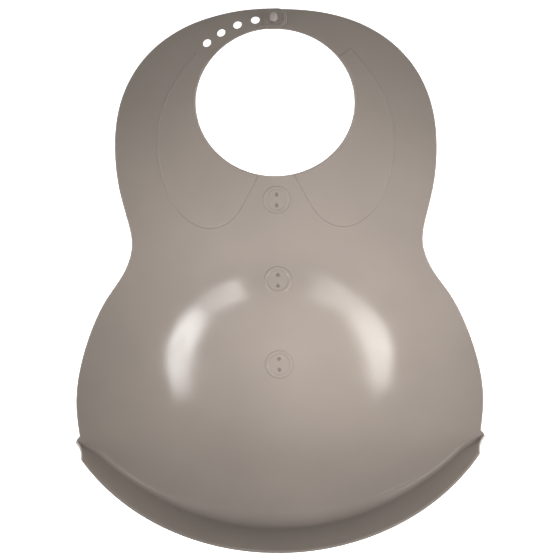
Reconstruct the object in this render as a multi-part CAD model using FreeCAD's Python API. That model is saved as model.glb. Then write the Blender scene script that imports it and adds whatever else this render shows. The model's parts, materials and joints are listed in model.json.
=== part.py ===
"""Soft silicone baby bib, lying on its back: +X to the right, +Y up the bib, +Z out of its front.

One moulding, built here as its separate regions, in millimetres.
"""
import FreeCAD, Part
import math
import os
from FreeCAD import Vector

# ---- sheet -----------------------------------------------------------------------------------
LENGTH = 305.3            # top of the straps to the foremost point of the pocket's lip
SHEET = 1.5               # silicone thickness everywhere
HALF_CHEST = 92.7         # half widths of the outline
HALF_WAIST = 83.8
HALF_HIP = 117.2
HALF_NOTCH = 115.5
Y_TOP = LENGTH / 2
Y_CHEST = Y_TOP - 80.7    # where the chest is widest
Y_WAIST = Y_TOP - 133.1
Y_HIP = Y_TOP - 226.7
Y_NOTCH = Y_TOP - 244.2   # where the pocket's wall starts at either side
SHOULDER_POWER = 2.3      # squareness of the rounded shoulders

# ---- neck opening and straps -------------------------------------------------------------------
Y_NECK = Y_TOP - 53.9     # centre of the neck opening
NECK_RX = 45.6
NECK_RY = 42.2
TIP_REACH = 2.3           # how far each strap's round tip is centred past the middle
LAP_GAP = 0.35            # air between the lapped straps
RAMP_START = -38.0        # the hole strap climbs over the stud strap between these two
RAMP_END = -13.0
HOLE_COUNT = 5
HOLE_LONG = 2.45          # half length of a strap hole, along the strap
HOLE_SHORT = 2.0
HOLE_STEP = 10.9          # degrees between holes, along the line of holes
HOLE_LINE_RX = 56.0
LIFT_POINT = (-46.5, 31.4)  # a point on the lifting fold, measured from the neck's centre
LIFT_TILT = 150.8         # direction of the lifting fold, across the strap, degrees from +X
TIP_RIM_WIDTH = 1.0
TIP_RIM_RISE = 0.4

# ---- closure stud ------------------------------------------------------------------------------
STUD_NECK_R = 1.7
STUD_HEAD_R = 2.5
STUD_TIP_R = 2.2
STUD_HEAD_GAP = 0.3       # air between the lapped strap and the head
STUD_RISE = 8.3           # above the stud strap

# ---- belly dome --------------------------------------------------------------------------------
DOME_RISE = 14.0
DOME_POWER = 3.4          # flatness of its top
Y_DOME = Y_TOP - 204.7    # top of the dome
DOME_RX = 84.0
DOME_UP = 70.0
DOME_DOWN = 80.0

# ---- crumb pocket ------------------------------------------------------------------------------
VALLEY_R = 151.0          # arc of the wall's foot
Y_VALLEY = Y_TOP - 145.2  # centre of that arc
LIP_RX = 128.2            # oval of the lip
LIP_RY = 106.3
WALL_MID = 40.0           # height of the lip at the middle and at the corners
WALL_END = 33.0
FILLET_MID = 9.0          # inside radius at the wall's foot
FILLET_END = 1.5
CORNER_ANGLE = 45.4       # where the lip stops, degrees either side of straight down
NOTCH_ANGLE = 48.6

# ---- relief on the front -----------------------------------------------------------------------
COLLAR_RISE = 0.4
BUTTON_R = 8.0
BUTTON_RIM_R = 6.2
BUTTON_RISE = 0.5
BUTTON_FACE_RISE = 0.25
THREAD_HOLE_R = 1.2
THREAD_HOLE_OFFSET = 3.1
Y_BUTTONS = {
    "button_top": Y_TOP - 110.0,
    "button_middle": Y_TOP - 156.7,
    "button_bottom": Y_TOP - 203.7,
}

# ---- fold lines --------------------------------------------------------------------------------
FOLD_GAP = 0.3            # split between two regions that fold forward
FLEX_GAP = 0.1            # split at the neck line, which bends both ways
RELIEF_SETBACK = 1.2      # relief stops this far from a fold
Y_WAIST_FOLD = Y_WAIST - 1.0

BIG = 400.0


def dome(x, y):
    """Height of the sheet's back face over the table."""
    reach = DOME_UP if y > Y_DOME else DOME_DOWN
    r = math.hypot(x / DOME_RX, (y - Y_DOME) / reach)
    if r >= 1:
        return 0.0
    return DOME_RISE * (1 - r ** DOME_POWER) ** 3


def lap_ramp(x, y):
    """Height of the hole strap's back face, which climbs over the stud strap."""
    u = (x - RAMP_START) / (RAMP_END - RAMP_START)
    u = min(max(u, 0.0), 1.0)
    return (SHEET + LAP_GAP) * u * u * (3 - 2 * u)


def skin(height, x_range, y_range, step):
    """The back face of a sheet over a rectangle, following height(x, y)."""
    columns = round((x_range[1] - x_range[0]) / step) + 1
    rows = round((y_range[1] - y_range[0]) / step) + 1
    grid = []
    for i in range(columns):
        x = between(x_range[0], x_range[1], i / (columns - 1))
        line = []
        for j in range(rows):
            y = between(y_range[0], y_range[1], j / (rows - 1))
            line.append(Vector(x, y, height(x, y)))
        grid.append(line)
    surface = Part.BSplineSurface()
    surface.interpolate(grid)
    return surface.toShape()


def layer(face, lift, thick):
    """A sheet of the given thickness, lifted over a skin."""
    face = face.copy()
    face.translate(Vector(0, 0, lift))
    return face.extrude(Vector(0, 0, thick))


def prism(edges, low=-20.0, high=90.0):
    """A tall block over a closed plan outline."""
    face = Part.Face(Part.Wire(edges))
    face.translate(Vector(0, 0, low))
    return face.extrude(Vector(0, 0, high - low))


def spline(points):
    curve = Part.BSplineCurve()
    curve.interpolate([Vector(x, y, 0) for x, y in points])
    return curve.toShape()


def line(a, b):
    return Part.makeLine(Vector(a[0], a[1], 0), Vector(b[0], b[1], 0))


def block(x0, x1, y0, y1, z0=-20.0, z1=90.0):
    return Part.makeBox(x1 - x0, y1 - y0, z1 - z0, Vector(x0, y0, z0))


def round_block(x, y, r, z0=-20.0, z1=90.0):
    return Part.makeCylinder(r, z1 - z0, Vector(x, y, z0))


def ellipse_block(x, y, rx, ry):
    return prism([Part.Ellipse(Vector(x, y, 0), rx, ry).toShape()])


def between(a, b, share):
    return a + (b - a) * share


def right_edge():
    """Plan points down the right edge, from the top middle to the notch."""
    points = [(0.0, Y_TOP)]
    for angle in (27, 45, 61, 75):
        c = math.cos(math.radians(angle)) ** (2 / SHOULDER_POWER)
        s = math.sin(math.radians(angle)) ** (2 / SHOULDER_POWER)
        points.append((HALF_CHEST * s, Y_CHEST + (Y_TOP - Y_CHEST) * c))
    points.append((HALF_CHEST, Y_CHEST))
    for wide, down in ((0.32, 0.48), (0.86, 0.84)):
        points.append((between(HALF_CHEST, HALF_WAIST, wide), between(Y_CHEST, Y_WAIST, down)))
    points.append((HALF_WAIST, Y_WAIST))
    for wide, down in ((0.17, 0.20), (0.45, 0.345), (0.67, 0.495), (0.85, 0.67)):
        points.append((between(HALF_WAIST, HALF_HIP, wide), between(Y_WAIST, Y_HIP, down)))
    points.append((HALF_HIP, Y_HIP))
    points.append((HALF_NOTCH, Y_NOTCH))
    return points


def mirror_x(points):
    return [(-x, y) for x, y in points]


def outline_block():
    """The whole outline, carried straight down past the pocket's foot."""
    right = right_edge()
    top = mirror_x(right[:0:-1]) + right
    low = -BIG / 2
    edges = [
        spline(top),
        line(top[-1], (HALF_NOTCH, low)),
        line((HALF_NOTCH, low), (-HALF_NOTCH, low)),
        line((-HALF_NOTCH, low), top[0]),
    ]
    return prism(edges)


def lip_reach(angle):
    """Distance of the lip's oval from the valley's centre."""
    offset = Y_VALLEY - (LIP_RY - LENGTH / 2)
    c, s = math.cos(angle), math.sin(angle)
    square = (s / LIP_RX) ** 2 + (c / LIP_RY) ** 2
    linear = offset * c / LIP_RY ** 2
    rest = (offset / LIP_RY) ** 2 - 1
    return (linear + math.sqrt(linear ** 2 - square * rest)) / square


def fillet_at(angle):
    share = min(abs(angle) / math.radians(CORNER_ANGLE), 1.0)
    return between(FILLET_MID, FILLET_END, math.sin(share * math.pi / 2) ** 2)


def wall_height(angle):
    share = abs(angle) / math.radians(CORNER_ANGLE)
    return WALL_MID - (WALL_MID - WALL_END) * share ** 2


def lean_at(angle):
    """The wall's lean, so that its lip's outer edge lies on the lip arc."""
    return math.atan((lip_reach(angle) - SHEET - VALLEY_R) / (wall_height(angle) - SHEET))


def fillet_start(angle):
    lean = lean_at(angle)
    return VALLEY_R - fillet_at(angle) * (1 - math.sin(lean)) / math.cos(lean)


def polar(angle, reach, z=0.0):
    return Vector(reach * math.sin(angle), Y_VALLEY - reach * math.cos(angle), z)


def wall_section(angle, root):
    """Closed outline of the pocket's wall at one angle: root, fillet, wall and rounded lip."""
    lean = lean_at(angle)
    r = fillet_at(angle)
    centre = (fillet_start(angle), SHEET + r)
    half_turn = -(math.pi / 2 + lean) / 2

    def on_arc(radius, turn):
        return (centre[0] + radius * math.cos(turn), centre[1] + radius * math.sin(turn))

    run = (math.sin(lean), math.cos(lean))
    out = (math.cos(lean), -math.sin(lean))
    foot_in = on_arc(r, -lean)
    foot_out = on_arc(r + SHEET, -lean)
    climb = (wall_height(angle) - SHEET / 2 - foot_in[1]) / run[1]
    top_in = (foot_in[0] + run[0] * climb, foot_in[1] + run[1] * climb)
    top_out = (top_in[0] + out[0] * SHEET, top_in[1] + out[1] * SHEET)
    crest = (
        (top_in[0] + top_out[0]) / 2 + run[0] * SHEET / 2,
        (top_in[1] + top_out[1]) / 2 + run[1] * SHEET / 2,
    )
    start = centre[0] - root

    def at(point):
        return polar(angle, point[0], point[1])

    edges = [
        Part.makeLine(at((start, 0)), at((centre[0], 0))),
        Part.Arc(at((centre[0], 0)), at(on_arc(r + SHEET, half_turn)), at(foot_out)).toShape(),
        Part.makeLine(at(foot_out), at(top_out)),
        Part.Arc(at(top_out), at(crest), at(top_in)).toShape(),
        Part.makeLine(at(top_in), at(foot_in)),
        Part.Arc(at(foot_in), at(on_arc(r, half_turn)), at((centre[0], SHEET))).toShape(),
        Part.makeLine(at((centre[0], SHEET)), at((start, SHEET))),
        Part.makeLine(at((start, SHEET)), at((start, 0))),
    ]
    return Part.Wire(edges)


def floor_block():
    """Everything inside the line where the wall's fillet starts."""
    last = math.radians(NOTCH_ANGLE + 2)
    count = 14
    points = []
    for i in range(count + 1):
        angle = last * (2 * i / count - 1)
        spot = polar(angle, fillet_start(angle))
        points.append((spot.x, spot.y))
    high = Y_NOTCH + 60
    edges = [
        spline(points),
        line(points[-1], (points[-1][0], high)),
        line((points[-1][0], high), (points[0][0], high)),
        line((points[0][0], high), points[0]),
    ]
    return prism(edges)


def wall_end_cut(side):
    """The block beyond the wall's slanting end, from the notch up to the lip's corner."""
    notch = math.radians(NOTCH_ANGLE)
    corner = math.radians(CORNER_ANGLE)
    low = polar(notch, VALLEY_R, 0)
    high = polar(corner, lip_reach(corner) - SHEET, wall_height(corner))
    along = high - low
    across = Vector(math.sin(notch), -math.cos(notch), 0)
    away = along.cross(across)
    away.normalize()
    if away.y < 0:
        away = away * -1
    size = 120.0
    first = low - along * 1.0 - across * (size / 2)
    corners = [
        first,
        first + along * 4.0,
        first + along * 4.0 + across * size,
        first + across * size,
        first,
    ]
    cut = Part.Face(Part.makePolygon(corners)).extrude(away * size)
    if side < 0:
        cut = cut.mirror(Vector(0, 0, 0), Vector(1, 0, 0))
    return cut


def pocket_wall(floor):
    count = 16
    last = math.radians(NOTCH_ANGLE + 1)
    sections = [wall_section(last * (2 * i / count - 1), 2.0) for i in range(count + 1)]
    wall = Part.makeLoft(sections, True, False)
    wall = wall.cut(floor)
    for side in (1, -1):
        wall = wall.cut(wall_end_cut(side))
    return wall.common(block(-BIG, BIG, -BIG, Y_NOTCH - FOLD_GAP / 2))


def fold_frame():
    """The lifting fold across the hole strap: a point, its direction and the way to the tip."""
    point = Vector(LIFT_POINT[0], Y_NECK + LIFT_POINT[1], 0)
    tilt = math.radians(LIFT_TILT)
    along = Vector(math.cos(tilt), math.sin(tilt), 0)
    ahead = Vector(math.sin(tilt), -math.cos(tilt), 0)
    return point, along, ahead


def ahead_of_fold(offset):
    """The block on the tip's side of the lifting fold."""
    point, along, ahead = fold_frame()
    first = point + ahead * offset - along * BIG / 2 - Vector(0, 0, 20)
    corners = [first, first + along * BIG, first + along * BIG + ahead * BIG, first + ahead * BIG, first]
    return Part.Face(Part.makePolygon(corners)).extrude(Vector(0, 0, 110))


def strap_top():
    """Height of the straps' middle line over the neck's centre, at the middle of the bib."""
    return (Y_NECK + NECK_RY + Y_TOP) / 2


def rounded_edge(x0, x1):
    """The half-round edge that a strap turns on at the neck line."""
    return Part.makeCylinder(SHEET / 2, x1 - x0, Vector(x0, Y_NECK, SHEET / 2), Vector(1, 0, 0))


def hole_blocks():
    """Oval blocks along the straps' middle line, from the stud's place outwards."""
    line_ry = strap_top() - Y_NECK
    blocks = []
    for i in range(HOLE_COUNT):
        turn = math.radians(HOLE_STEP * i)
        x, y = -HOLE_LINE_RX * math.sin(turn), Y_NECK + line_ry * math.cos(turn)
        slope = math.atan2(line_ry * math.sin(turn), HOLE_LINE_RX * math.cos(turn))
        block = ellipse_block(x, y, HOLE_LONG, HOLE_SHORT)
        block.rotate(Vector(x, y, 0), Vector(0, 0, 1), math.degrees(slope))
        blocks.append(block)
    return blocks


def collar_block():
    """Plan of the right collar leaf, from the neck's edge round to the neck's edge."""
    points = [
        (44.0, 30.5),
        (51.5, 21.5),
        (60.5, 7.5),
        (67.3, -11.5),
        (67.4, -33.0),
        (62.5, -52.0),
        (52.5, -66.2),
        (39.0, -72.2),
        (26.5, -67.8),
        (17.0, -54.5),
        (8.0, -38.0),
    ]
    points = [(x, Y_NECK + y) for x, y in points]
    return prism([spline(points), line(points[-1], points[0])])


def button(name, face):
    """Round relief on a skin, with a raised rim and two thread holes."""
    y = Y_BUTTONS[name]
    disc = layer(face, SHEET, BUTTON_FACE_RISE).common(round_block(0, y, BUTTON_RIM_R))
    ring = round_block(0, y, BUTTON_R).cut(round_block(0, y, BUTTON_RIM_R))
    shape = disc.fuse(layer(face, SHEET, BUTTON_RISE).common(ring))
    for side in (1, -1):
        shape = shape.cut(round_block(0, y + side * THREAD_HOLE_OFFSET, THREAD_HOLE_R))
    return shape


def closure_stud():
    """Round peg with a bullet head, moulded on the stud strap's front."""
    y = strap_top()
    head_low = 2 * SHEET + LAP_GAP + STUD_HEAD_GAP
    shoulder = SHEET + STUD_RISE - STUD_TIP_R
    peg = Part.makeCylinder(STUD_NECK_R, head_low + 1 - SHEET, Vector(0, y, SHEET))
    head = Part.makeCone(STUD_HEAD_R, STUD_TIP_R, shoulder - head_low, Vector(0, y, head_low))
    tip = Part.makeSphere(STUD_TIP_R, Vector(0, y, shoulder))
    tip = tip.common(round_block(0, y, STUD_HEAD_R, shoulder, shoulder + STUD_HEAD_R))
    return peg.fuse([head, tip]).removeSplitter()


def save(name, shape):
    solids = shape.Solids
    whole = solids[0] if len(solids) == 1 else shape
    whole.exportStep("parts/" + name + ".step")
    box = whole.optimalBoundingBox(False)
    print(
        "%-18s solids %d valid %s vol %.1f  x %.2f %.2f  y %.2f %.2f  z %.3f %.3f"
        % (name, len(solids), whole.isValid(), whole.Volume, box.XMin, box.XMax,
           box.YMin, box.YMax, box.ZMin, box.ZMax)
    )


os.makedirs("parts", exist_ok=True)

outline = outline_block()
neck = ellipse_block(0, Y_NECK, NECK_RX, NECK_RY)
crescent = outline.cut(neck)
relief_sheet = block(-BIG, BIG, -BIG, BIG, SHEET, SHEET + COLLAR_RISE)

# Chest: flat, with the lower half of the neck opening, between the waist fold and the neck line.
chest_low = Y_WAIST_FOLD + FOLD_GAP / 2
chest_high = Y_NECK - SHEET / 2 - FLEX_GAP
chest = crescent.common(block(-BIG, BIG, chest_low, chest_high, 0, SHEET))
save("chest_panel", chest)

# Belly and pocket floor: one domed sheet, parted along the straight fold between the notches.
y_low = Y_VALLEY - VALLEY_R - 12
dome_skin = skin(dome, (-HALF_HIP - 8, HALF_HIP + 8), (y_low, Y_WAIST + 12), 6.0)
dome_sheet = layer(dome_skin, 0.0, SHEET)
belly = dome_sheet.common(outline)
belly = belly.common(block(-BIG, BIG, Y_NOTCH + FOLD_GAP / 2, Y_WAIST_FOLD - FOLD_GAP / 2))
save("belly_panel", belly)

floor = floor_block()
pocket_floor = dome_sheet.common(outline).common(floor)
pocket_floor = pocket_floor.common(block(-BIG, BIG, -BIG, Y_NOTCH - FOLD_GAP / 2))
save("pocket_floor", pocket_floor)
save("pocket_wall", pocket_wall(floor))

# Straps: the right one carries the stud, the left one has the holes and laps over it.
middle = strap_top()
tip_r = (Y_TOP - Y_NECK - NECK_RY) / 2
above_neck = block(-BIG, BIG, Y_NECK, BIG, 0, SHEET)
stud_strap = crescent.common(above_neck).common(block(-TIP_REACH, BIG, -BIG, BIG))
stud_strap = stud_strap.fuse(round_block(-TIP_REACH, middle, tip_r, 0, SHEET))
stud_strap = stud_strap.fuse(rounded_edge(0, BIG).common(crescent)).removeSplitter()
save("stud_strap", stud_strap)
save("closure_stud", closure_stud())

root = crescent.common(above_neck).common(block(-BIG, 0, -BIG, BIG))
root = root.fuse(rounded_edge(-BIG, 0).common(crescent)).removeSplitter()
root = root.cut(ahead_of_fold(-FOLD_GAP / 2))
save("hole_strap_root", root)

lap_skin = skin(lap_ramp, (-HALF_CHEST - 8, 20), (Y_NECK - 10, Y_TOP + 10), 5.0)
lap_sheet = layer(lap_skin, 0.0, SHEET)
plan = crescent.common(block(-BIG, TIP_REACH, Y_NECK, BIG))
plan = plan.fuse(round_block(TIP_REACH, middle, tip_r))
hole_strap = lap_sheet.common(plan).common(ahead_of_fold(FOLD_GAP / 2))
for hole in hole_blocks():
    hole_strap = hole_strap.cut(hole)
rim = round_block(TIP_REACH, middle, tip_r - 0.5).cut(
    round_block(TIP_REACH, middle, tip_r - 0.5 - TIP_RIM_WIDTH)
)
rim = rim.common(block(TIP_REACH, BIG, -BIG, BIG))
lap_top = 2 * SHEET + LAP_GAP
rim = rim.common(block(-BIG, BIG, -BIG, BIG, lap_top - SHEET / 2, lap_top + TIP_RIM_RISE))
hole_strap = hole_strap.fuse(rim)
save("hole_strap", hole_strap)

# Collar: a leaf either side of the neck, raised from the chest and running up onto the straps.
leaf = collar_block().cut(neck).common(crescent).common(relief_sheet)
above = block(-BIG, BIG, Y_NECK + RELIEF_SETBACK, BIG)
below = block(-BIG, BIG, -BIG, Y_NECK - RELIEF_SETBACK)
left_leaf = leaf.mirror(Vector(0, 0, 0), Vector(1, 0, 0))
save("collar_right", leaf.common(below))
save("collar_left", left_leaf.common(below))
save("collar_right_tail", leaf.common(above))
save("collar_left_tail", left_leaf.common(above).cut(ahead_of_fold(-RELIEF_SETBACK)))

# Buttons: three round reliefs down the middle, each with a rim and two thread holes.
chest_skin = Part.makePlane(2 * BIG, 2 * BIG, Vector(-BIG, -BIG, 0))
save("button_top", button("button_top", chest_skin))
save("button_middle", button("button_middle", dome_skin))
save("button_bottom", button("button_bottom", dome_skin))

axis_height = dome(0, Y_NOTCH) + SHEET + 0.2
point, along, ahead = fold_frame()
print("waist fold: y %.3f z %.3f" % (Y_WAIST_FOLD, SHEET))
print("neck line: y %.3f z %.3f" % (Y_NECK, SHEET / 2))
print("pocket fold: y %.3f z %.3f" % (Y_NOTCH, axis_height))
print("lifting fold: x %.3f y %.3f z %.3f along %.5f %.5f" % (point.x, point.y, SHEET, along.x, along.y))
print("lean at middle %.2f, at corner %.2f" % (
    math.degrees(lean_at(0)), math.degrees(lean_at(math.radians(CORNER_ANGLE)))))
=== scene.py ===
import json
import math

import bmesh
import bpy
import numpy as np
from mathutils import Matrix, Vector


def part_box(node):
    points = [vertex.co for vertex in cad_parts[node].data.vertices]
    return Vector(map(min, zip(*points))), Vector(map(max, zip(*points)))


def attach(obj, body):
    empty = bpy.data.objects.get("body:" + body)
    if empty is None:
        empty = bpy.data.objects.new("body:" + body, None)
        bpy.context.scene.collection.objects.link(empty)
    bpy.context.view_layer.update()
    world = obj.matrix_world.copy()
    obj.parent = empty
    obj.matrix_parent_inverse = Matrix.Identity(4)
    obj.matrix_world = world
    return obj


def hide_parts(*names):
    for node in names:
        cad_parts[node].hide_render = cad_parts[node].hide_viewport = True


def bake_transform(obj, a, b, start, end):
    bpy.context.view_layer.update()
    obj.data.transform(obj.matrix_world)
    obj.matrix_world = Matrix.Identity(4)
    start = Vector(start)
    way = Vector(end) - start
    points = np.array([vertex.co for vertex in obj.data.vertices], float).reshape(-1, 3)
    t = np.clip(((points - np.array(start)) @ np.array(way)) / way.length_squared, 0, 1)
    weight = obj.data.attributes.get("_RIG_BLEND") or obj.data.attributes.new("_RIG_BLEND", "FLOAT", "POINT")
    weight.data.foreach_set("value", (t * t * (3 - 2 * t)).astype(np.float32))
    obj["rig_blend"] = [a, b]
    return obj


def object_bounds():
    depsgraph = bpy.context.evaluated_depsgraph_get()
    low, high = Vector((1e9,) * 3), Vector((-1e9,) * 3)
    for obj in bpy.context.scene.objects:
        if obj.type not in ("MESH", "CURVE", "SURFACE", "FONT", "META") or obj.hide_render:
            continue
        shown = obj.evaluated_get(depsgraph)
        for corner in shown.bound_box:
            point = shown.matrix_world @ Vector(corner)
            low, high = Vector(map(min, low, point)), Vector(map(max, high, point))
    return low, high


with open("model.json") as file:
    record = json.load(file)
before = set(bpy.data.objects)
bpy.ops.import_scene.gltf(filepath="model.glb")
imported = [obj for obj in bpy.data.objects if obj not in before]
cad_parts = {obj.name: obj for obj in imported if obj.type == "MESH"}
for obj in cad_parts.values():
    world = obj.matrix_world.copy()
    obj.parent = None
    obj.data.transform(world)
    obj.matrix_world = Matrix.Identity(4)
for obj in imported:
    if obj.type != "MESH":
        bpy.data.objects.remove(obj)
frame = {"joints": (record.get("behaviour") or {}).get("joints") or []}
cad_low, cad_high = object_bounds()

# ---- Camera ----------------------------------------------------------------------------------
# Straight above the bib as it lies on a white table, a little off its middle and a little turned.
CAMERA_HEIGHT = 0.750
VIEW_WIDTH = 0.3226       # what the frame takes in at the level of the table
CAMERA_SPOT = (0.0012, -0.0034)
CAMERA_TURN = math.radians(-0.9)

camera_data = bpy.data.cameras.new("camera")
camera_data.angle = 2 * math.atan(VIEW_WIDTH / 2 / CAMERA_HEIGHT)
camera = bpy.data.objects.new("camera", camera_data)
camera.location = (*CAMERA_SPOT, CAMERA_HEIGHT)
camera.rotation_euler = (0, 0, CAMERA_TURN)
bpy.context.scene.collection.objects.link(camera)
bpy.context.scene.camera = camera
bpy.context.scene.view_settings.view_transform = "Standard"

# ---- Silicone --------------------------------------------------------------------------------
# The whole bib is one shot of pigmented silicone, taupe, pressed in a polished mould: glossy, a
# little cloudy in colour, with the faint orange peel and rub marks of handled rubber.
TAUPE = (0.330, 0.300, 0.270, 1)
TAUPE_DEEP = (0.298, 0.272, 0.246, 1)
# Painted shade: the dark tone painted along the strap tip's rim and bead, the collar leaves' edges and the
# buttons' dimples and groove.
PAINTED_SHADE_COLOUR = (0.12, 0.11, 0.10, 1)
SILICONE_IOR = 1.41
SHEET_GLOSS = 0.15        # roughness where the mould's polish is whole
RUBBED = 0.12             # how much rougher the most handled spots are


def silicone(name, light, deep, gloss):
    """Cloudy glossy silicone, darkened with painted shade where a mesh's shade attribute asks for it."""
    material = bpy.data.materials.new(name)
    material.use_nodes = True
    nodes = material.node_tree.nodes
    link = material.node_tree.links.new
    shader = nodes["Principled BSDF"]
    shader.inputs["IOR"].default_value = SILICONE_IOR
    shader.inputs["Specular IOR Level"].default_value = 0.5
    place = nodes.new("ShaderNodeTexCoord")

    clouds = nodes.new("ShaderNodeTexNoise")
    clouds.inputs["Scale"].default_value = 14.0
    clouds.inputs["Detail"].default_value = 3.0
    link(place.outputs["Object"], clouds.inputs["Vector"])
    tint = nodes.new("ShaderNodeValToRGB")
    tint.color_ramp.elements[0].position = 0.3
    tint.color_ramp.elements[0].color = deep
    tint.color_ramp.elements[1].position = 0.7
    tint.color_ramp.elements[1].color = light
    link(clouds.outputs["Fac"], tint.inputs["Fac"])
    # Painted shade: the mesh's shade attribute mixes the colour towards the dark shade colour.
    hollow = nodes.new("ShaderNodeAttribute")
    hollow.attribute_name = "hollow"
    shade_mix = nodes.new("ShaderNodeMixRGB")
    shade_mix.inputs["Color2"].default_value = PAINTED_SHADE_COLOUR
    link(hollow.outputs["Fac"], shade_mix.inputs["Fac"])
    link(tint.outputs["Color"], shade_mix.inputs["Color1"])
    link(shade_mix.outputs["Color"], shader.inputs["Base Color"])

    rubbed = nodes.new("ShaderNodeTexNoise")
    rubbed.inputs["Scale"].default_value = 55.0
    rubbed.inputs["Detail"].default_value = 6.0
    rubbed.inputs["Roughness"].default_value = 0.65
    link(place.outputs["Object"], rubbed.inputs["Vector"])
    wear = nodes.new("ShaderNodeMapRange")
    wear.inputs["From Min"].default_value = 0.35
    wear.inputs["From Max"].default_value = 0.75
    wear.inputs["To Min"].default_value = gloss
    wear.inputs["To Max"].default_value = gloss + RUBBED
    link(rubbed.outputs["Fac"], wear.inputs["Value"])
    link(wear.outputs["Result"], shader.inputs["Roughness"])

    peel = nodes.new("ShaderNodeTexNoise")
    peel.inputs["Scale"].default_value = 900.0
    peel.inputs["Detail"].default_value = 2.0
    link(place.outputs["Object"], peel.inputs["Vector"])
    grain = nodes.new("ShaderNodeBump")
    grain.inputs["Strength"].default_value = 0.05
    grain.inputs["Distance"].default_value = 0.0002
    link(peel.outputs["Fac"], grain.inputs["Height"])
    sway = nodes.new("ShaderNodeTexNoise")
    sway.inputs["Scale"].default_value = 22.0
    sway.inputs["Detail"].default_value = 1.0
    link(place.outputs["Object"], sway.inputs["Vector"])
    swell = nodes.new("ShaderNodeBump")
    swell.inputs["Strength"].default_value = 0.35
    swell.inputs["Distance"].default_value = 0.0012
    link(sway.outputs["Fac"], swell.inputs["Height"])
    link(grain.outputs["Normal"], swell.inputs["Normal"])
    link(swell.outputs["Normal"], shader.inputs["Normal"])
    return material


sheet_silicone = silicone("taupe_silicone", TAUPE, TAUPE_DEEP, SHEET_GLOSS)

# ---- Sheet -----------------------------------------------------------------------------------
# One silicone sheet 1.5 mm thick with round edges: flat in the chest, a low dome over the belly,
# turned up into the pocket's wall. It is made as four skins that meet where the sheet stays still.
folds = {joint["name"]: joint["pos_m"] for joint in frame["joints"]}
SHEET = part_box("chest_panel")[1].z
Y_TOP = cad_high.y
LENGTH = 0.3053
HALF_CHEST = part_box("chest_panel")[1].x
HALF_WAIST = 0.0838
HALF_HIP = cad_high.x
HALF_NOTCH = 0.1155
Y_CHEST = Y_TOP - 0.0807
Y_WAIST = Y_TOP - 0.1331
Y_HIP = Y_TOP - 0.2267
Y_NOTCH = folds["pocket_fold"][1]
Y_WAIST_FOLD = folds["waist_fold"][1]
SHOULDER_POWER = 2.3
SHOULDER_ANGLES = (27, 45, 61, 75)
# Points on the edge between its wide and narrow places: shares of the way across and down.
CHEST_TO_WAIST = ((0.32, 0.48), (0.86, 0.84))
WAIST_TO_HIP = ((0.17, 0.20), (0.45, 0.345), (0.67, 0.495), (0.85, 0.67))
Y_NECK = folds["neck_flex"][1]
NECK_RX = 0.0456
NECK_RY = 0.0422
TIP_REACH = 0.0023
TIP_R = (Y_TOP - Y_NECK - NECK_RY) / 2
TIP_ANGLE = 82            # a strap's tip is a true arc this far round, in degrees, on each side
Y_STRAP = Y_TOP - TIP_R
DOME_RISE = 0.014
DOME_POWER = 3.4
Y_DOME = Y_TOP - 0.2047
DOME_RX = 0.084
DOME_UP = 0.070
DOME_DOWN = 0.080
Y_CHEST_SEAM = 0.050
LIFT_POINT = Vector(folds["hole_strap_lift"])
LIFT_TILT = math.radians(150.8)
LIFT_ANGLE = 142.5        # where the lifting fold meets the neck's edge, in degrees round it
LIFT_CLEAR = 0.0045       # the left edge's rim stops this far short of the fold
AHEAD = Vector((math.sin(LIFT_TILT), -math.cos(LIFT_TILT), 0))   # from the lifting fold to the tip
LIFT_SEAM = -0.003
OVERSHOOT = 0.005         # how far an outline runs on past a seam before it is cut
RIM_ROUND = 0.00065
POINT_STEP = 0.0013
GRID_STEP = 0.0028
SEAM_LINES = 0.0003       # extra grid lines this close to the seam across the dome's crest
CUT_REACH = 1e-7
WELD_REACH = 2e-6
SHARP_RIM = math.radians(55)
# Inset and drop of the quarter-round on a free edge, from the edge inwards.
RIM = ((0.0, 1.0), (0.134, 0.5), (0.5, 0.134), (1.0, 0.0), (1.9, 0.0))


def between(a, b, share):
    return a + (b - a) * share


def ease(share):
    share = min(max(share, 0.0), 1.0)
    return share * share * (3 - 2 * share)


def dome(x, y):
    """Height of the sheet's back over the table."""
    reach = DOME_UP if y > Y_DOME else DOME_DOWN
    r = math.hypot(x / DOME_RX, (y - Y_DOME) / reach)
    return 0.0 if r >= 1 else DOME_RISE * (1 - r ** DOME_POWER) ** 3


def normal_of(height, x, y):
    """Which way a surface faces, given its height as a function of place."""
    e = 1e-5
    slope_x = (height(x + e, y) - height(x - e, y)) / (2 * e)
    slope_y = (height(x, y + e) - height(x, y - e)) / (2 * e)
    return Vector((-slope_x, -slope_y, 1)).normalized()


def smooth_run(points, step):
    """Evenly spaced points on the natural cubic spline through the given ones."""
    p = np.array(points, float)
    s = np.concatenate([[0], np.cumsum(np.linalg.norm(np.diff(p, axis=0), axis=1))])
    last = len(p) - 1
    system = np.eye(len(p))
    load = np.zeros_like(p)
    for i in range(1, last):
        before, after = s[i] - s[i - 1], s[i + 1] - s[i]
        system[i, i - 1:i + 2] = before, 2 * (before + after), after
        load[i] = (p[i + 1] - p[i]) / after - (p[i] - p[i - 1]) / before
    bend = np.linalg.solve(system, load)
    u = np.linspace(0, s[-1], round(s[-1] / step) + 1)
    i = np.clip(np.searchsorted(s, u, side="right") - 1, 0, last - 1)
    h = (s[i + 1] - s[i])[:, None]
    a = (s[i + 1] - u)[:, None] / h
    b = 1 - a
    curve = a * p[i] + b * p[i + 1] + ((a ** 3 - a) * bend[i] + (b ** 3 - b) * bend[i + 1]) * h * h
    return [tuple(q) for q in curve]


def arc(x, y, rx, ry, start, stop):
    """Evenly spaced points on an ellipse between two angles in degrees."""
    count = round(abs(math.radians(stop - start)) * (rx + ry) / 2 / POINT_STEP)
    turns = [math.radians(between(start, stop, i / count)) for i in range(count + 1)]
    return [(x + rx * math.cos(t), y + ry * math.sin(t)) for t in turns]


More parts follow.
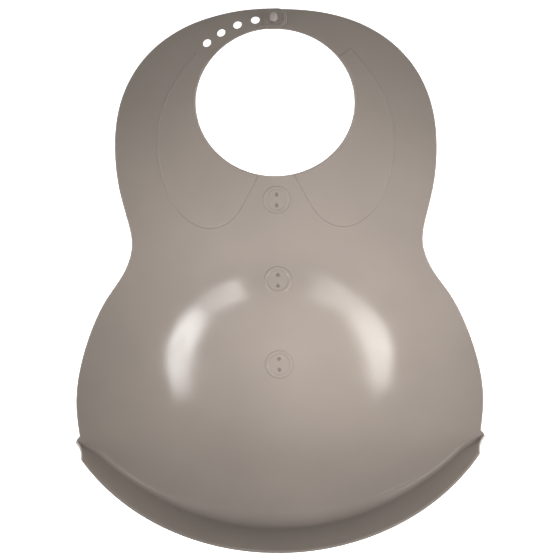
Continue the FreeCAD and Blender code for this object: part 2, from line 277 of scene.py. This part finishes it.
def right_side():
    """Down the right edge of the bib, from the middle of the top to the notch."""
    points = [(0.0, Y_TOP)]
    for angle in SHOULDER_ANGLES:
        c = math.cos(math.radians(angle)) ** (2 / SHOULDER_POWER)
        s = math.sin(math.radians(angle)) ** (2 / SHOULDER_POWER)
        points.append((HALF_CHEST * s, Y_CHEST + (Y_TOP - Y_CHEST) * c))
    points.append((HALF_CHEST, Y_CHEST))
    for wide, down in CHEST_TO_WAIST:
        points.append((between(HALF_CHEST, HALF_WAIST, wide), between(Y_CHEST, Y_WAIST, down)))
    points.append((HALF_WAIST, Y_WAIST))
    for wide, down in WAIST_TO_HIP:
        points.append((between(HALF_WAIST, HALF_HIP, wide), between(Y_WAIST, Y_HIP, down)))
    return points + [(HALF_HIP, Y_HIP), (HALF_NOTCH, Y_NOTCH)]


def inset(points, distance, closed=False):
    """The points moved to the left of their run."""
    p = np.array(points)
    if closed:
        p = np.concatenate([p[-2:-1], p, p[1:2]])
    run = np.gradient(p, axis=0)
    run /= np.linalg.norm(run, axis=1)[:, None]
    moved = p + np.stack([-run[:, 1], run[:, 0]], axis=1) * distance
    return [tuple(q) for q in (moved[1:-1] if closed else moved)]


def new_plan():
    """An empty mesh whose points carry a rim drop, a lift and the way their front faces."""
    bm = bmesh.new()
    bm.verts.layers.float.new("drop")
    bm.verts.layers.float.new("lift")
    bm.verts.layers.float_vector.new("out")
    return bm


def add_band(bm, rows, drops):
    """Faces between rows of points that lie side by side, each with how far its rim drops."""
    count = len(rows[0])
    made = bmesh.ops.create_grid(bm, x_segments=count - 1, y_segments=len(rows) - 1, size=1)["verts"]
    drop = bm.verts.layers.float["drop"]
    for j, row in enumerate(rows):
        for i, point in enumerate(row):
            vert = made[j * count + i]
            vert.co = (point[0], point[1], 0)
            vert[drop] = drops[j]
    return made


def add_face(bm, points):
    """One flat face inside the bands."""
    made = bmesh.ops.create_circle(bm, segments=len(points), radius=1, cap_ends=True)["verts"]
    for vert, point in zip(made, points):
        vert.co = (point[0], point[1], 0)


def cut_grid(bm, x_places, y_places):
    """Joins the bands to the face inside them, and parts that face along lines so that it can bend."""
    weld(bm)
    face = max(bm.faces, key=lambda f: len(f.verts))
    geom = [face] + list(face.edges) + list(face.verts)
    for normal, places in ((Vector((1, 0, 0)), x_places), (Vector((0, 1, 0)), y_places)):
        for place in places:
            cut = bmesh.ops.bisect_plane(
                bm, geom=geom, dist=CUT_REACH, plane_co=normal * place, plane_no=normal
            )
            geom = cut["geom"]


def steps(start, stop, step):
    """The middles of even steps along a line."""
    count = round((stop - start) / step)
    return [between(start, stop, (i + 0.5) / count) for i in range(count)]


def weld(bm):
    bmesh.ops.remove_doubles(bm, verts=bm.verts, dist=WELD_REACH)


def cut_off(bm, co, normal, only=None):
    """Takes away what lies on the normal's side of a plane."""
    faces = [f for f in bm.faces if only is None or only(f.calc_center_median())]
    edges = {e for f in faces for e in f.edges}
    verts = {v for f in faces for v in f.verts}
    bmesh.ops.bisect_plane(
        bm,
        geom=faces + list(edges) + list(verts),
        dist=CUT_REACH,
        plane_co=co,
        plane_no=normal,
        clear_outer=True,
    )


def shape_back(bm, height):
    """Lifts a flat plan to the height of the sheet's back, and notes which way its front faces."""
    out = bm.verts.layers.float_vector["out"]
    for vert in bm.verts:
        x, y = vert.co.x, vert.co.y
        vert.co.z = height(x, y)
        vert[out] = normal_of(height, x, y)


def thicken(bm, name, thickness, back_rim=1.0):
    """Closes a surface into a solid with round rims and makes it an object."""
    drop = bm.verts.layers.float["drop"]
    lift = bm.verts.layers.float["lift"]
    out = bm.verts.layers.float_vector["out"]
    backs = set(bm.verts)
    bmesh.ops.extrude_face_region(bm, geom=bm.faces[:])
    for vert in bm.verts:
        away = Vector(vert[out])
        if vert in backs:
            vert.co += away * vert[drop] * back_rim
        else:
            vert.co += away * (thickness - vert[drop] + vert[lift])
    bmesh.ops.recalc_face_normals(bm, faces=bm.faces)
    mesh = bpy.data.meshes.new(name)
    bm.to_mesh(mesh)
    bm.free()
    mesh.shade_smooth()
    mesh.set_sharp_from_angle(angle=SHARP_RIM)
    piece = bpy.data.objects.new(name, mesh)
    bpy.context.scene.collection.objects.link(piece)
    return piece


right = right_side()
outline = smooth_run(right[::-1] + [(-x, y) for x, y in right[1:]], POINT_STEP)
past_middle = next(i for i, point in enumerate(outline) if point[0] < -TIP_REACH)
RIM_INSETS = [share * RIM_ROUND for share, fall in RIM]
RIM_DROPS = [fall * RIM_ROUND for share, fall in RIM]

# The pocket's wall stands on an arc round a point in the valley and leans out to its lip.
VALLEY_R = 0.151
Y_VALLEY = Y_TOP - 0.1452
LIP_RX = 0.1282
LIP_RY = 0.1063
WALL_MID = 0.040
WALL_END = 0.033
FILLET_MID = 0.009
FILLET_END = 0.0035
CORNER_ANGLE = math.radians(45.4)
NOTCH_ANGLE = math.atan2(HALF_NOTCH, Y_VALLEY - Y_NOTCH)
END_SHARE = 0.88          # the wall's foot flares out to the notch beyond this share of its arc
WALL_COLUMN = 0.0022
WALL_STEPS = 16
FILLET_STEPS = 7


def lip_reach(angle):
    """Distance of the lip's oval from the valley's centre."""
    offset = Y_VALLEY - (LIP_RY - LENGTH / 2)
    c, s = math.cos(angle), math.sin(angle)
    square = (s / LIP_RX) ** 2 + (c / LIP_RY) ** 2
    linear = offset * c / LIP_RY ** 2
    rest = (offset / LIP_RY) ** 2 - 1
    return (linear + math.sqrt(linear ** 2 - square * rest)) / square


def wall_height(angle):
    return WALL_MID - (WALL_MID - WALL_END) * (angle / CORNER_ANGLE) ** 2


def wall_rows(angle):
    """Up the outer face at one angle: reach, height, front's reach and rise, rim drop."""
    height = wall_height(angle)
    lean = math.atan((lip_reach(angle) - SHEET - VALLEY_R) / (height - SHEET))
    share = min(abs(angle) / CORNER_ANGLE, 1.0)
    r = between(FILLET_MID, FILLET_END, math.sin(share * math.pi / 2) ** 2)
    centre = VALLEY_R - r * (1 - math.sin(lean)) / math.cos(lean)
    rows = []
    for i in range(FILLET_STEPS + 1):
        turn = between(-math.pi / 2, -lean, i / FILLET_STEPS)
        c, s = math.cos(turn), math.sin(turn)
        rows.append((centre + (r + SHEET) * c, SHEET + r + (r + SHEET) * s, -c, -s, 0.0))
    foot_x, foot_z = rows[-1][:2]
    climb = (height - foot_z) / math.cos(lean) - SHEET / 2 * math.tan(lean)
    levels = [(climb * i / WALL_STEPS, 0.0) for i in range(1, WALL_STEPS - 1)]
    levels += [(climb - near, fall) for near, fall in zip(RIM_INSETS[::-1], RIM_DROPS[::-1])]
    for level, fall in levels:
        reach = foot_x + level * math.sin(lean)
        rows.append((reach, foot_z + level * math.cos(lean), -math.cos(lean), math.sin(lean), fall))
    return rows


def wall_point(u, row):
    """Place, front direction and rim drop of a wall point, u from -1 (left notch) to 1 (right)."""
    z = wall_rows(u * NOTCH_ANGLE)[row][1]
    angle = u * between(NOTCH_ANGLE, CORNER_ANGLE, z / WALL_END)
    reach, z, front, rise, fall = wall_rows(angle)[row]
    foot = wall_rows(NOTCH_ANGLE)[0][0]
    flare = math.hypot(HALF_NOTCH, Y_VALLEY - Y_NOTCH) - foot
    reach += flare * ease((abs(u) - END_SHARE) / (1 - END_SHARE)) * (1 - z / WALL_END) ** 2
    place = Vector((reach * math.sin(angle), Y_VALLEY - reach * math.cos(angle), z))
    return place, Vector((front * math.sin(angle), -front * math.cos(angle), rise)), fall


root_length = VALLEY_R * NOTCH_ANGLE
end_shares = [1 - near / root_length for near in RIM_INSETS]
middle_count = round(2 * root_length * end_shares[-1] / WALL_COLUMN)
middle_shares = [end_shares[-1] * between(-1, 1, i / middle_count) for i in range(1, middle_count)]
columns = [-u for u in end_shares] + middle_shares + end_shares[::-1]
root = {u: tuple(wall_point(u, 0)[0].xy) for u in columns}


def sheet_plan():
    """The whole flat sheet but for the hole strap, with its rim and a grid."""
    seam_angle = LIFT_ANGLE - math.degrees(OVERSHOOT / NECK_RX)
    right_run = outline[:past_middle]
    right_run += arc(-TIP_REACH, Y_STRAP, TIP_R, TIP_R, 180 - TIP_ANGLE, 180 + TIP_ANGLE)
    neck_start = math.degrees(math.acos(-TIP_REACH / NECK_RX))
    right_run += arc(0, Y_NECK, NECK_RX, NECK_RY, neck_start, seam_angle - 360)
    left_run = [p for p in outline[past_middle:] if p[0] < LIFT_POINT.x - LIFT_CLEAR]
    bm = new_plan()
    right_rows = [inset(right_run, near) for near in RIM_INSETS]
    left_rows = [inset(left_run, near) for near in RIM_INSETS]
    for row, left_row, u in zip(right_rows, left_rows, end_shares):
        row[0] = root[u]
        left_row[-1] = root[-u]
    add_band(bm, right_rows, RIM_DROPS)
    add_band(bm, left_rows, RIM_DROPS)
    root_row = [root[u] for u in columns[len(RIM) - 1:1 - len(RIM)]]
    inner_row = [left_rows[-1][-2]] + inset(root_row, POINT_STEP)[1:-1] + [right_rows[-1][1]]
    add_band(bm, [root_row, inner_row], [0.0, 0.0])
    add_face(bm, right_rows[-1][1:] + left_rows[-1][:-2] + inner_row[:-1])
    y_lines = steps(-LENGTH / 2, Y_DOME, GRID_STEP)
    y_lines += [Y_DOME - SEAM_LINES, Y_DOME, Y_DOME + SEAM_LINES]
    cut_grid(bm, steps(-HALF_HIP, HALF_HIP, GRID_STEP), y_lines + steps(Y_DOME, Y_TOP, GRID_STEP))
    return bm


plan = sheet_plan()

# ---- Pocket skin -----------------------------------------------------------------------------
# The lower belly, the crumb pocket's floor and its standing wall with a half-round lip. The wall
# is moulded with the sheet, so there is no join: a fillet turns the floor up into it.
POCKET_BEND = (0.0075, -0.0125)   # the fold's soft zone, from the belly's side to the pocket's
pocket = plan.copy()
cut_off(pocket, Vector((0, Y_DOME, 0)), Vector((0, 1, 0)))
shape_back(pocket, dome)
wall = new_plan()
row_count = len(wall_rows(0.0))
wall_rows_of_points = [[wall_point(u, row) for u in columns] for row in range(row_count)]
made = add_band(wall, [[spot[0] for spot in row] for row in wall_rows_of_points], [0.0] * row_count)
column_drops = RIM_DROPS + [0.0] * len(middle_shares) + RIM_DROPS[::-1]
drop = wall.verts.layers.float["drop"]
out = wall.verts.layers.float_vector["out"]
for vert, (place, front, fall), side_fall in zip(
    made, [spot for row in wall_rows_of_points for spot in row], column_drops * row_count
):
    vert.co = place
    vert[out] = front
    vert[drop] = max(fall, side_fall)
wall_mesh = bpy.data.meshes.new("wall")
wall.to_mesh(wall_mesh)
wall.free()
pocket.from_mesh(wall_mesh)
weld(pocket)
pocket_skin = thicken(pocket, "pocket_skin", SHEET)
pocket_skin.data.materials.append(sheet_silicone)
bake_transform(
    pocket_skin,
    "belly",
    "pocket",
    start=(0, Y_NOTCH + POCKET_BEND[0], 0),
    end=(0, Y_NOTCH + POCKET_BEND[1], 0),
)
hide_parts("pocket_floor", "pocket_wall")

# ---- Chest skin ------------------------------------------------------------------------------
# The upper belly and the lower chest, over the waist. The sheet folds here in a soft bend.
WAIST_BEND = 0.008
chest = plan.copy()
cut_off(chest, Vector((0, Y_DOME, 0)), Vector((0, -1, 0)))
cut_off(chest, Vector((0, Y_CHEST_SEAM, 0)), Vector((0, 1, 0)))
shape_back(chest, dome)
chest_skin = thicken(chest, "chest_skin", SHEET)
chest_skin.data.materials.append(sheet_silicone)
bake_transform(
    chest_skin,
    "belly",
    "chest",
    start=(0, Y_WAIST_FOLD - WAIST_BEND, 0),
    end=(0, Y_WAIST_FOLD + WAIST_BEND, 0),
)
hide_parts("belly_panel")

# ---- Neck skin -------------------------------------------------------------------------------
# The upper chest, both sides of the neck opening, and the stud strap over its top to a round tip.
NECK_BEND = 0.013
STRAP_SIDE = -0.020       # the hole strap leaves the sheet to the left of this


def ahead_of_lift(centre):
    """True on the strap beyond the lifting fold, and not on the far side of the neck."""
    return centre.x < STRAP_SIDE and centre.y > Y_NECK


neck = plan.copy()
cut_off(neck, Vector((0, Y_CHEST_SEAM, 0)), Vector((0, -1, 0)))
cut_off(neck, Vector((LIFT_POINT.x, LIFT_POINT.y, 0)) + AHEAD * LIFT_SEAM, AHEAD, ahead_of_lift)
shape_back(neck, dome)
neck_skin = thicken(neck, "neck_skin", SHEET)
neck_skin.data.materials.append(sheet_silicone)
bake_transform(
    neck_skin,
    "chest",
    "neck_loop",
    start=(0, Y_NECK - NECK_BEND, 0),
    end=(0, Y_NECK + NECK_BEND, 0),
)
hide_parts("chest_panel", "stud_strap", "hole_strap_root")

# ---- Hole strap ------------------------------------------------------------------------------
# The free end of the collar: it climbs over the stud strap, has five small holes and ends in a
# round tip with a raised bead a little inside its edge.
LAP_GAP = 0.00035
RAMP_START = -0.038
RAMP_END = -0.013
HOLE_COUNT = 5
HOLE_LONG = 0.00245
HOLE_SHORT = 0.0020
HOLE_ROUND = 0.00012
HOLE_LINE_RX = 0.056
HOLE_STEP = math.radians(10.9)
HOLE_SIDES = 40
HOLE_ROUND_STEPS = 6
SHARP_HOLE = math.radians(40)
BEAD_RISE = 0.0004
BEAD_START = -0.011
BEAD_FULL = -0.006
# Inset of the bead's lines and their share of its rise, and the painted shade on the rim's five
# lines and then the bead's six.
BEAD = ((0.0013, 0.0), (0.0015, 0.6), (0.0017, 1.0), (0.0020, 1.0), (0.0022, 0.6), (0.0025, 0.0))
TIP_PAINTED_SHADE = (0.5, 0.5, 0.4, 0.1, 0.0, 0.25, 0.1, 0.0, 0.0, 0.1, 0.25)
STRAP_GRID = (0.0010, 0.0014)
STRAP_BOX = ((-0.064, 0.010), (0.120, Y_TOP))
LIFT_BEND = (-0.0015, 0.012)


def lap_ramp(x, y):
    """Height of the hole strap's back, which climbs over the stud strap."""
    return (SHEET + LAP_GAP) * ease((x - RAMP_START) / (RAMP_END - RAMP_START))


def strap_plan():
    """The flat hole strap from a little behind the lifting fold to its tip, with rim and bead."""
    seam_angle = LIFT_ANGLE + math.degrees(OVERSHOOT / NECK_RX)
    neck_start = math.degrees(math.acos(TIP_REACH / NECK_RX))
    run = arc(0, Y_NECK, NECK_RX, NECK_RY, seam_angle, neck_start)
    run += arc(TIP_REACH, Y_STRAP, TIP_R, TIP_R, -TIP_ANGLE, TIP_ANGLE)
    run += [p for p in outline if p[0] < TIP_REACH and p[1] > LIFT_POINT.y]
    insets = RIM_INSETS + [near for near, rise in BEAD]
    bm = new_plan()
    hollow = bm.verts.layers.float.new("hollow")
    rows = [inset(run, near) for near in insets]
    made = add_band(bm, rows, RIM_DROPS + [0.0] * len(BEAD))
    lift = bm.verts.layers.float["lift"]
    rises = [0.0] * len(RIM) + [rise * BEAD_RISE for near, rise in BEAD]
    for index, vert in enumerate(made):
        share = ease((vert.co.x - BEAD_START) / (BEAD_FULL - BEAD_START))
        vert[lift] = rises[index // len(run)] * share
        # painted shade: the tip's rim and bead are darkened, fully over the round tip and fading out behind
        # it
        vert[hollow] = TIP_PAINTED_SHADE[index // len(run)] * share
    add_face(bm, rows[-1])
    cut_grid(bm, steps(*STRAP_BOX[0], STRAP_GRID[0]), steps(*STRAP_BOX[1], STRAP_GRID[1]))
    return bm


strap = strap_plan()
cut_off(strap, Vector((LIFT_POINT.x, LIFT_POINT.y, 0)) + AHEAD * LIFT_SEAM, -AHEAD)
shape_back(strap, lap_ramp)
hole_strap_skin = thicken(strap, "hole_strap_skin", SHEET)
hole_strap_skin.data.materials.append(sheet_silicone)

cutters = bmesh.new()
strap_line_ry = Y_STRAP - Y_NECK
for i in range(HOLE_COUNT):
    turn = HOLE_STEP * i
    x, y = -HOLE_LINE_RX * math.sin(turn), Y_NECK + strap_line_ry * math.cos(turn)
    z = lap_ramp(x, y)
    across = normal_of(lap_ramp, x, y)
    profile = [(HOLE_LONG + HOLE_ROUND, -SHEET)]
    for k in range(HOLE_ROUND_STEPS + 1):
        bend = math.pi / 2 * k / HOLE_ROUND_STEPS
        flare = HOLE_ROUND * (1 - math.sin(bend))
        profile.append((HOLE_LONG + flare, -SHEET / 2 + HOLE_ROUND * (1 - math.cos(bend))))
    profile += [(r, -h) for r, h in profile[::-1]]
    slope = Vector((HOLE_LINE_RX * math.cos(turn), strap_line_ry * math.sin(turn), 0)).normalized()
    slope = (slope - across * slope.dot(across)).normalized()
    turned = Matrix((slope, across.cross(slope), across)).transposed()
    rings = len(profile) - 1
    made = bmesh.ops.create_grid(cutters, x_segments=HOLE_SIDES, y_segments=rings, size=1)["verts"]
    for index, vert in enumerate(made):
        r, h = profile[index // (HOLE_SIDES + 1)]
        angle = 2 * math.pi * (index % (HOLE_SIDES + 1)) / HOLE_SIDES
        spot = Vector((r * math.cos(angle), (r - HOLE_LONG + HOLE_SHORT) * math.sin(angle), h))
        vert.co = Vector((x, y, z)) + across * SHEET / 2 + turned @ spot
weld(cutters)
bmesh.ops.holes_fill(cutters, edges=cutters.edges)
bmesh.ops.recalc_face_normals(cutters, faces=cutters.faces)
cutter_mesh = bpy.data.meshes.new("hole_cutters")
cutters.to_mesh(cutter_mesh)
cutters.free()
cutter = bpy.data.objects.new("hole_cutters", cutter_mesh)
bpy.context.scene.collection.objects.link(cutter)
holes = hole_strap_skin.modifiers.new("holes", "BOOLEAN")
holes.operation = "DIFFERENCE"
holes.solver = "EXACT"
holes.object = cutter
punched = bpy.data.meshes.new_from_object(
    hole_strap_skin.evaluated_get(bpy.context.evaluated_depsgraph_get())
)
hole_strap_skin.modifiers.clear()
hole_strap_skin.data = punched
punched.set_sharp_from_angle(angle=SHARP_HOLE)
bpy.data.objects.remove(cutter)
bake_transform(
    hole_strap_skin,
    "neck_loop",
    "hole_strap_end",
    start=LIFT_POINT + AHEAD * LIFT_BEND[0],
    end=LIFT_POINT + AHEAD * LIFT_BEND[1],
)
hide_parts("hole_strap")

# ---- Collar leaves ---------------------------------------------------------------------------
# Two leaves of a round collar, in low relief on the chest, with a small round edge.
COLLAR_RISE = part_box("collar_right")[1].z - SHEET
COLLAR_SINK = 0.0001
# Inset of the edge's lines and how far each falls, as a share of the leaf's rise.
COLLAR_EDGE = ((0.0, 1.0), (0.0001, 0.62), (0.00022, 0.28), (0.00036, 0.07), (0.0005, 0.0))
# painted shade: how dark the collar's edge is painted at its foot, standing in for the edge's shadow
COLLAR_PAINTED_SHADE = 0.5         # at the foot of the edge
COLLAR_NECK_GAP = 0.0007
COLLAR_RIM_GAP = -0.0012  # the left leaf stops this far short of the lifting fold
COLLAR_GRID = (0.004, 0.002)
COLLAR_BOX = ((0, 0.070), (0.020, 0.135))
# The right leaf's outer line, down from the strap and back up to the neck, from its centre.
COLLAR_POINTS = (
    (0.0440, 0.0305),
    (0.0515, 0.0215),
    (0.0605, 0.0075),
    (0.0673, -0.0115),
    (0.0674, -0.0330),
    (0.0625, -0.0520),
    (0.0525, -0.0662),
    (0.0390, -0.0722),
    (0.0265, -0.0678),
    (0.0170, -0.0545),
    (0.0080, -0.0380),
)


def leaf_plan():
    """The right leaf, flat: its outer line, then back along the neck's edge."""
    rx, ry = NECK_RX + COLLAR_NECK_GAP, NECK_RY + COLLAR_NECK_GAP
    outer = smooth_run(COLLAR_POINTS, 0.0010)
    outer = [(x, Y_NECK + y) for x, y in outer if math.hypot(x / rx, y / ry) > 1.004][::-1]
    first, last = outer[0], outer[-1]
    start = math.degrees(math.atan2((last[1] - Y_NECK) / ry, last[0] / rx))
    stop = math.degrees(math.atan2((first[1] - Y_NECK) / ry, first[0] / rx))
    loop = outer + arc(0, Y_NECK, rx, ry, start, stop)
    loop.append(loop[0])
    bm = new_plan()
    hollow = bm.verts.layers.float.new("hollow")
    rows = [inset(loop, near, closed=True) for near, fall in COLLAR_EDGE]
    made = add_band(bm, rows, [fall * COLLAR_RISE for near, fall in COLLAR_EDGE])
    for index, vert in enumerate(made):
        # painted shade along the foot of the leaf's edge, fading up the edge
        vert[hollow] = COLLAR_PAINTED_SHADE * COLLAR_EDGE[index // len(rows[0])][1]
    add_face(bm, rows[-1][:-1])
    cut_grid(bm, steps(*COLLAR_BOX[0], COLLAR_GRID[0]), steps(*COLLAR_BOX[1], COLLAR_GRID[1]))
    return bm


for side, name in ((1, "right"), (-1, "left")):
    leaf = leaf_plan()
    for vert in leaf.verts:
        vert.co.x *= side
    if side < 0:
        cut_off(leaf, Vector((LIFT_POINT.x, LIFT_POINT.y, 0)) + AHEAD * COLLAR_RIM_GAP, AHEAD)
    shape_back(leaf, dome)
    for vert in leaf.verts:
        vert.co.z = SHEET - COLLAR_SINK
    piece = thicken(leaf, "collar_leaf_" + name, COLLAR_RISE + COLLAR_SINK, back_rim=0.0)
    piece.data.materials.append(sheet_silicone)
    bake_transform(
        piece,
        "chest",
        "neck_loop",
        start=(0, Y_NECK - NECK_BEND, 0),
        end=(0, Y_NECK + NECK_BEND, 0),
    )
    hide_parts("collar_" + name, "collar_" + name + "_tail")

# ---- Buttons ---------------------------------------------------------------------------------
# Three round buttons down the middle, moulded on the sheet: a raised rim, a lower face and two
# thread dimples one over the other. They look sewn on, but they are relief.
BUTTON_R = 0.008
BUTTON_RIM_R = 0.0062
BUTTON_RISE = 0.0005
BUTTON_FACE_RISE = 0.00025
BUTTON_SOFT = 0.0005
THREAD_HOLE_R = 0.0012
THREAD_HOLE_OFFSET = 0.0031
THREAD_HOLE_DEPTH = 0.00024
DIMPLE_SOFT = 0.0003
# painted shade in the thread dimples and along the groove inside the rim
DIMPLE_PAINTED_SHADE = 0.6
GROOVE_PAINTED_SHADE = 0.22
BUTTON_SINK = 0.0003


def button_relief(x, y):
    """Height of a button's face over the sheet, and how much painted shade lies there."""
    r = math.hypot(x, y)
    rim = between(BUTTON_FACE_RISE, BUTTON_RISE, ease((r - BUTTON_RIM_R + BUTTON_SOFT / 2) / BUTTON_SOFT))
    edge = ease((BUTTON_R - r) / BUTTON_SOFT)
    hole = math.hypot(x, abs(y) - THREAD_HOLE_OFFSET)
    dimple = ease((THREAD_HOLE_R - hole) / DIMPLE_SOFT + 0.5)
    groove = ease(1 - abs(r - BUTTON_RIM_R + BUTTON_SOFT / 2) / BUTTON_SOFT) * GROOVE_PAINTED_SHADE
    return rim * edge - THREAD_HOLE_DEPTH * dimple, max(dimple * DIMPLE_PAINTED_SHADE, groove)


for name, body in (("top", "chest"), ("middle", "belly"), ("bottom", "belly")):
    low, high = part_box("button_" + name)
    middle_y = (low.y + high.y) / 2
    bm = new_plan()
    spokes, circles = 96, 40
    hollow = bm.verts.layers.float.new("hollow")
    out = bm.verts.layers.float_vector["out"]
    lift = bm.verts.layers.float["lift"]
    made = bmesh.ops.create_grid(bm, x_segments=spokes, y_segments=circles, size=1)["verts"]
    for index, vert in enumerate(made):
        angle = 2 * math.pi * (index % (spokes + 1)) / spokes
        r = BUTTON_R * (index // (spokes + 1)) / circles
        x, y = r * math.cos(angle), r * math.sin(angle)
        away = normal_of(dome, x, middle_y + y)
        back = Vector((x, middle_y + y, dome(x, middle_y + y)))
        vert.co = back + away * (SHEET - BUTTON_SINK)
        vert[out] = away
        vert[lift], vert[hollow] = button_relief(x, y)
    weld(bm)
    piece = thicken(bm, "button_relief_" + name, BUTTON_SINK + 0.00002)
    piece.data.materials.append(sheet_silicone)
    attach(piece, body)
    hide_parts("button_" + name)

# ---- Stud ------------------------------------------------------------------------------------
# The closing peg on the stud strap: a round neck and a bullet head that snaps through a hole.
# It is the same silicone, paler where it is worn by the holes.
stud_silicone = silicone("stud_silicone", (0.46, 0.43, 0.40, 1), (0.40, 0.37, 0.34, 1), 0.30)
stud_low, stud_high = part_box("closure_stud")
STUD_NECK_R = 0.0017
STUD_HEAD_R = 0.0025
STUD_TIP_R = 0.0022
HEAD_LOW = 2 * SHEET + LAP_GAP + 0.0003
shoulder = stud_high.z - STUD_TIP_R
profile = [(0.0, SHEET - 0.0003), (STUD_NECK_R + 0.0005, SHEET - 0.0003)]
profile += [(STUD_NECK_R + 0.0001, SHEET + 0.0002), (STUD_NECK_R, SHEET + 0.0006)]
profile += [(STUD_NECK_R, HEAD_LOW - 0.0001), (STUD_HEAD_R - 0.0002, HEAD_LOW)]
profile += [(STUD_HEAD_R, HEAD_LOW + 0.0002), (STUD_TIP_R, shoulder)]
for i in range(1, 9):
    turn = math.pi / 2 * i / 8
    profile.append((STUD_TIP_R * math.cos(turn), shoulder + STUD_TIP_R * math.sin(turn)))
peg = bmesh.new()
made = bmesh.ops.create_grid(peg, x_segments=48, y_segments=len(profile) - 1, size=1)["verts"]
for index, vert in enumerate(made):
    r, z = profile[index // 49]
    angle = 2 * math.pi * (index % 49) / 48
    vert.co = (r * math.cos(angle), Y_STRAP + r * math.sin(angle), z)
weld(peg)
bmesh.ops.recalc_face_normals(peg, faces=peg.faces)
peg_mesh = bpy.data.meshes.new("stud_peg")
peg.to_mesh(peg_mesh)
peg.free()
peg_mesh.shade_smooth()
peg_mesh.set_sharp_from_angle(angle=math.radians(50))
stud_peg = bpy.data.objects.new("stud_peg", peg_mesh)
bpy.context.scene.collection.objects.link(stud_peg)
stud_peg.data.materials.append(stud_silicone)
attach(stud_peg, "neck_loop")
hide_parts("closure_stud")

# ---- Table and light -------------------------------------------------------------------------
# A white shooting table in soft studio light: long lamps on both sides that bend in over the head
# and mirror in the dome, two low warm lamps for the pocket's wall, and a warm glow from above.
TABLE_HALF = 3.0
TABLE_BELOW = 0.0002
ROOM_TINT = (0.84, 1.0, 1.0, 1)
ROOM_POWER = 0.10
BELLY_TOP = (0.0, Y_DOME, DOME_RISE)
table_mesh = bpy.data.meshes.new("table")
top = bmesh.new()
bmesh.ops.create_grid(top, x_segments=1, y_segments=1, size=TABLE_HALF)
top.to_mesh(table_mesh)
top.free()
table = bpy.data.objects.new("table", table_mesh)
table.location.z = cad_low.z - TABLE_BELOW
bpy.context.scene.collection.objects.link(table)
paper = bpy.data.materials.new("white_paper")
paper.use_nodes = True
paper_shader = paper.node_tree.nodes["Principled BSDF"]
paper_shader.inputs["Base Color"].default_value = (0.9, 0.9, 0.9, 1)
paper_shader.inputs["Roughness"].default_value = 0.8
paper_shader.inputs["Specular IOR Level"].default_value = 0.1
paper_shader.inputs["Emission Color"].default_value = (1, 1, 1, 1)
paper_shader.inputs["Emission Strength"].default_value = 1.0
table.data.materials.append(paper)

world = bpy.data.worlds.new("room")
bpy.context.scene.world = world
world.use_nodes = True
room = world.node_tree.nodes["Background"]
room.inputs["Color"].default_value = ROOM_TINT
room.inputs["Strength"].default_value = ROOM_POWER


def add_light(data, spot, along, aim):
    """Puts a lamp in place, facing aim, with its long side along a direction."""
    away = (Vector(spot) - Vector(aim)).normalized()
    side = Vector(along).cross(away).normalized()
    made = bpy.data.objects.new(data.name, data)
    made.matrix_world = Matrix((side, away.cross(side), away)).transposed().to_4x4()
    made.location = spot
    bpy.context.scene.collection.objects.link(made)
    return made


def strip_lamp(name, start, stop, width, power, colour, mirrored):
    """A softbox between two points, facing the belly, that is either mirrored or lights it."""
    run = Vector(stop) - Vector(start)
    data = bpy.data.lights.new(name, "AREA")
    data.shape = "RECTANGLE"
    data.size = width
    data.size_y = run.length
    data.energy = power
    data.color = colour
    strip = add_light(data, (Vector(start) + Vector(stop)) / 2, run, BELLY_TOP)
    strip.visible_glossy = mirrored
    strip.visible_diffuse = not mirrored


for side, name, colour, low_power in (
    (-1, "left", (1.0, 1.0, 1.0), 1.9),
    (1, "right", (1.0, 0.99, 0.96), 2.4),
):
    foot, bend = (side * 1.16, -0.50, 1.0), (side * 0.82, 0.66, 1.0)
    strip_lamp(name + "_strip", foot, bend, 0.15, 13.0, colour, True)
    head_start, head_end = (side * 0.83, 0.66, 1.0), (side * 0.36, 0.92, 1.0)
    strip_lamp(name + "_head_strip", head_start, head_end, 0.07, 2.6, colour, True)
    low, low_end = (side * 0.80, -0.25, 0.22), (side * 0.80, 0.15, 0.22)
    strip_lamp(name + "_low", low, low_end, 0.30, low_power, (1.0, 0.88, 0.78), False)

GLOW_HEIGHT = 1.3
GLOW_REACH = 0.197        # where the glow has faded out, from its middle
glow = bpy.data.lights.new("warm_glow", "SPOT")
glow.energy = 97.0
glow.color = (1.0, 0.93, 0.92)
glow.spot_size = 2 * math.atan(GLOW_REACH / GLOW_HEIGHT)
glow.spot_blend = 1.0
glow.shadow_soft_size = 0.12
glow_lamp = add_light(glow, (0.04, -0.06, GLOW_HEIGHT), (0, 1, 0), (0.024, -0.016, 0))
glow_lamp.visible_glossy = False
